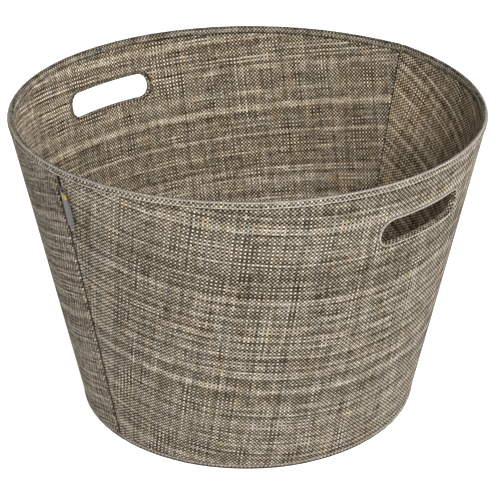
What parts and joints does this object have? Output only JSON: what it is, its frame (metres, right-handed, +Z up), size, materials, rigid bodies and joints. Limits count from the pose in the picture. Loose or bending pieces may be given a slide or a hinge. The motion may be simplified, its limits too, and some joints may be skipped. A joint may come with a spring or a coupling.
{
  "type": "fabric storage bin",
  "caption": "Round tapered fabric storage bin with stiffened walls, bound rim and hand slots, side seams, a ribbon label and a loose floor insert.",
  "frame": {"origin": "centre of the underside, on the surface the bin stands on", "axes": "+Z up along the bin's axis; the two side seams are at -X and +X; the two hand slots are at -Y (front) and +Y (back)"},
  "size_m": [0.4185, 0.4075, 0.275],
  "materials": {
    "cover_cloth": "coarse tweed weave, mixed beige, grey and dark brown yarns",
    "lining_cloth": "the same tweed weave, seen from inside",
    "binding_cloth": "the same tweed weave, turned over an edge",
    "board": "matt grey-brown board",
    "thread": "twisted polyester thread",
    "seam_tape": "dark woven tape",
    "ribbon": "smooth grey ribbon",
    "base_felt": "matt non-woven cloth"
  },
  "bodies": {
    "bin": {"outer_panel_front": "cover_cloth", "outer_panel_back": "cover_cloth", "stiffener_front": "board", "stiffener_back": "board", "lining_panel_front": "lining_cloth", "lining_panel_back": "lining_cloth", "rim_binding_front": "binding_cloth", "rim_binding_back": "binding_cloth", "slot_edging_front": "binding_cloth", "slot_edging_back": "binding_cloth", "panel_stitching_front": "thread", "panel_stitching_back": "thread", "seam_tape_left": "seam_tape", "seam_tape_right": "seam_tape", "base_binding": "binding_cloth", "base_cloth": "base_felt"},
    "floor_insert": {"floor_board": "board", "floor_cover": "lining_cloth", "floor_backing": "base_felt"},
    "label": {"side_label": "ribbon"}
  },
  "joints": [
    {"name": "floor_insert_lift", "type": "slide", "parent": "bin", "child": "floor_insert", "axis": [0, 0, 1], "range_m": [0, 0.3]},
    {"name": "label_flap", "type": "hinge", "parent": "bin", "child": "label", "pos_m": [-0.19816, 0.00267, 0.2259], "axis": [-0.1892, 0.0025, 0.9819], "range_deg": [-150, 5], "stiffness_Nm_per_rad": 0.0002}
  ]
}
